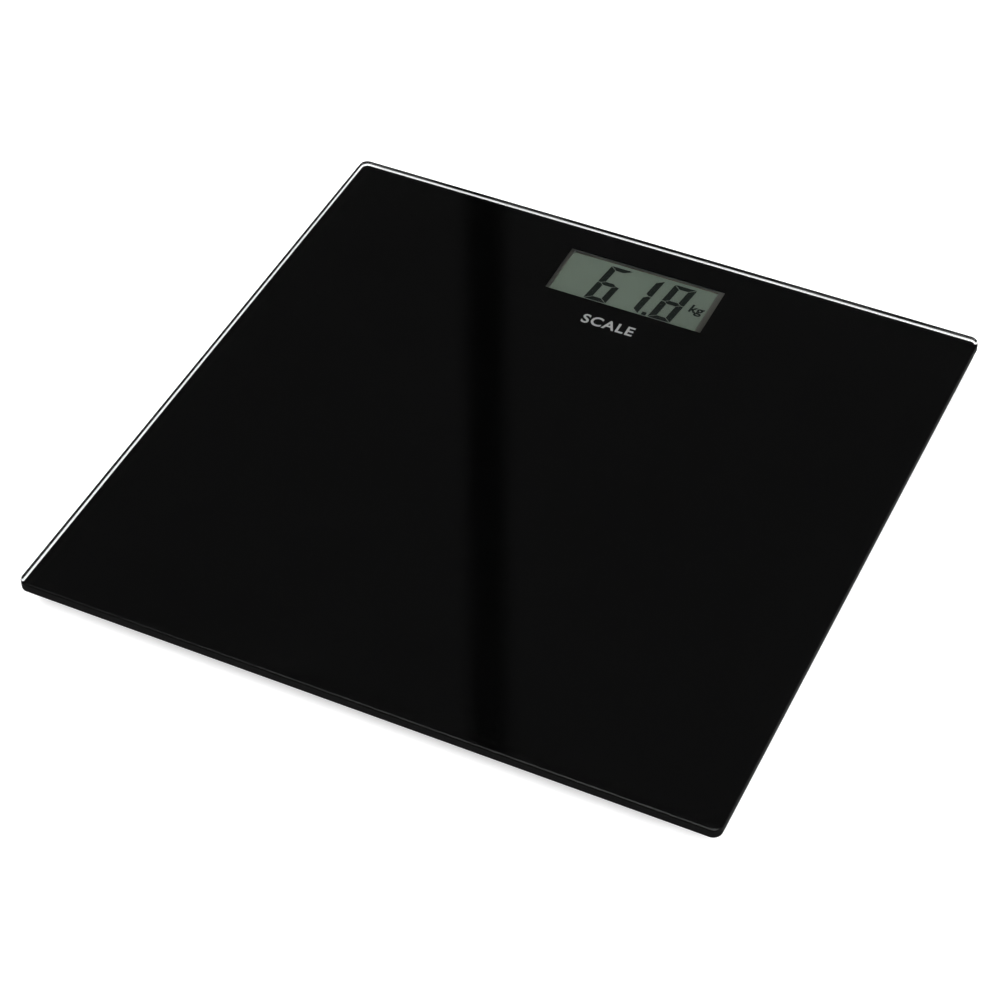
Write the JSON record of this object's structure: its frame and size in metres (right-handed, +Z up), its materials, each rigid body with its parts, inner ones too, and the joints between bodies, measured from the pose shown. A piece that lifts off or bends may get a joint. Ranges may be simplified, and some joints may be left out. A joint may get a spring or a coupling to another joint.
{
  "type": "digital bathroom scale",
  "caption": "Square glass bathroom scale with load-cell feet, a reversed-glass display window near one edge, a unit button and a hinged coin-cell door.",
  "frame": {"origin": "on the floor, under the middle of the square glass platform", "axes": "+Z up, +Y towards the display end, +X to the right of a user who stands on it facing the display"},
  "size_m": [0.3, 0.3, 0.02],
  "materials": {
    "clear_glass": "polished",
    "black_ink": "printed ink under glass",
    "foam_tape": "matt foam",
    "foam_gasket": "matt foam",
    "black_abs": "fine moulded texture",
    "white_abs": "moulded",
    "green_laminate": "solder resist",
    "zinc_steel": "zinc plated",
    "ceramic_chip": "ceramic",
    "black_resin": "cured resin",
    "display_glass": "polished",
    "display_film": "polarising film",
    "reflector_film": "grey-green film",
    "pink_silicone": "layered rubber",
    "switch_steel": "stamped",
    "cell_steel": "nickel plated",
    "spring_contact": "nickel plated spring steel",
    "silver_label": "satin polyester",
    "load_cell_steel": "punched and plated",
    "white_silicone": "cured silicone",
    "ball_steel": "polished ball",
    "black_rubber": "moulded rubber",
    "cable_sheath": "PVC sheath"
  },
  "bodies": {
    "root": {"adhesive_rings": "foam_tape", "back_print": "black_ink", "battery_contact_minus": "spring_contact", "battery_contact_plus": "spring_contact", "battery_holder": "white_abs", "board_components": "ceramic_chip", "board_screws": "zinc_steel", "chip_blob": "black_resin", "circuit_board": "green_laminate", "coin_cell": "cell_steel", "display_housing": "black_abs", "foot_housing_bl": "black_abs", "foot_housing_br": "black_abs", "foot_housing_fl": "black_abs", "foot_housing_fr": "black_abs", "foot_retainers": "black_abs", "glass_platform": "clear_glass", "lcd_frame": "white_abs", "lcd_front_glass": "display_glass", "lcd_polariser": "display_film", "lcd_rear_glass": "display_glass", "lcd_reflector": "reflector_film", "lead_bl": "cable_sheath", "lead_br": "cable_sheath", "lead_clips": "black_abs", "lead_fl": "cable_sheath", "lead_fr": "cable_sheath", "light_gasket": "foam_gasket", "load_cell_bl": "load_cell_steel", "load_cell_br": "load_cell_steel", "load_cell_fl": "load_cell_steel", "load_cell_fr": "load_cell_steel", "module_tape": "foam_tape", "rating_label": "silver_label", "rubber_connectors": "pink_silicone", "strain_gauge_bl": "white_silicone", "strain_gauge_br": "white_silicone", "strain_gauge_fl": "white_silicone", "strain_gauge_fr": "white_silicone", "unit_switch": "switch_steel"},
    "ball_fl": {"steel_ball_fl": "ball_steel"},
    "foot_fl": {"foot_cap_fl": "black_abs", "foot_pad_fl": "black_rubber"},
    "ball_fr": {"steel_ball_fr": "ball_steel"},
    "foot_fr": {"foot_cap_fr": "black_abs", "foot_pad_fr": "black_rubber"},
    "ball_bl": {"steel_ball_bl": "ball_steel"},
    "foot_bl": {"foot_cap_bl": "black_abs", "foot_pad_bl": "black_rubber"},
    "ball_br": {"steel_ball_br": "ball_steel"},
    "foot_br": {"foot_cap_br": "black_abs", "foot_pad_br": "black_rubber"},
    "battery_door": {"battery_door": "black_abs"},
    "unit_button": {"unit_button": "white_abs", "switch_plunger": "black_abs"}
  },
  "joints": [
    {"name": "tilt_x_fl", "type": "hinge", "parent": "root", "child": "ball_fl", "pos_m": [-0.108, -0.108, 0.0072], "axis": [1, 0, 0], "range_deg": [-2, 2]},
    {"name": "tilt_y_fl", "type": "hinge", "parent": "ball_fl", "child": "foot_fl", "pos_m": [-0.108, -0.108, 0.0072], "axis": [0, 1, 0], "range_deg": [-2, 2]},
    {"name": "tilt_x_fr", "type": "hinge", "parent": "root", "child": "ball_fr", "pos_m": [0.108, -0.108, 0.0072], "axis": [1, 0, 0], "range_deg": [-2, 2]},
    {"name": "tilt_y_fr", "type": "hinge", "parent": "ball_fr", "child": "foot_fr", "pos_m": [0.108, -0.108, 0.0072], "axis": [0, 1, 0], "range_deg": [-2, 2]},
    {"name": "tilt_x_bl", "type": "hinge", "parent": "root", "child": "ball_bl", "pos_m": [-0.108, 0.108, 0.0072], "axis": [1, 0, 0], "range_deg": [-2, 2]},
    {"name": "tilt_y_bl", "type": "hinge", "parent": "ball_bl", "child": "foot_bl", "pos_m": [-0.108, 0.108, 0.0072], "axis": [0, 1, 0], "range_deg": [-2, 2]},
    {"name": "tilt_x_br", "type": "hinge", "parent": "root", "child": "ball_br", "pos_m": [0.108, 0.108, 0.0072], "axis": [1, 0, 0], "range_deg": [-2, 2]},
    {"name": "tilt_y_br", "type": "hinge", "parent": "ball_br", "child": "foot_br", "pos_m": [0.108, 0.108, 0.0072], "axis": [0, 1, 0], "range_deg": [-2, 2]},
    {"name": "door_hinge", "type": "hinge", "parent": "root", "child": "battery_door", "pos_m": [0.0248, 0.0978, 0.0055], "axis": [1, 0, 0], "range_deg": [0, 90]},
    {"name": "button_press", "type": "slide", "parent": "root", "child": "unit_button", "axis": [0, 0, 1], "range_m": [0, 0.0005], "stiffness_N_per_m": 4000}
  ]
}
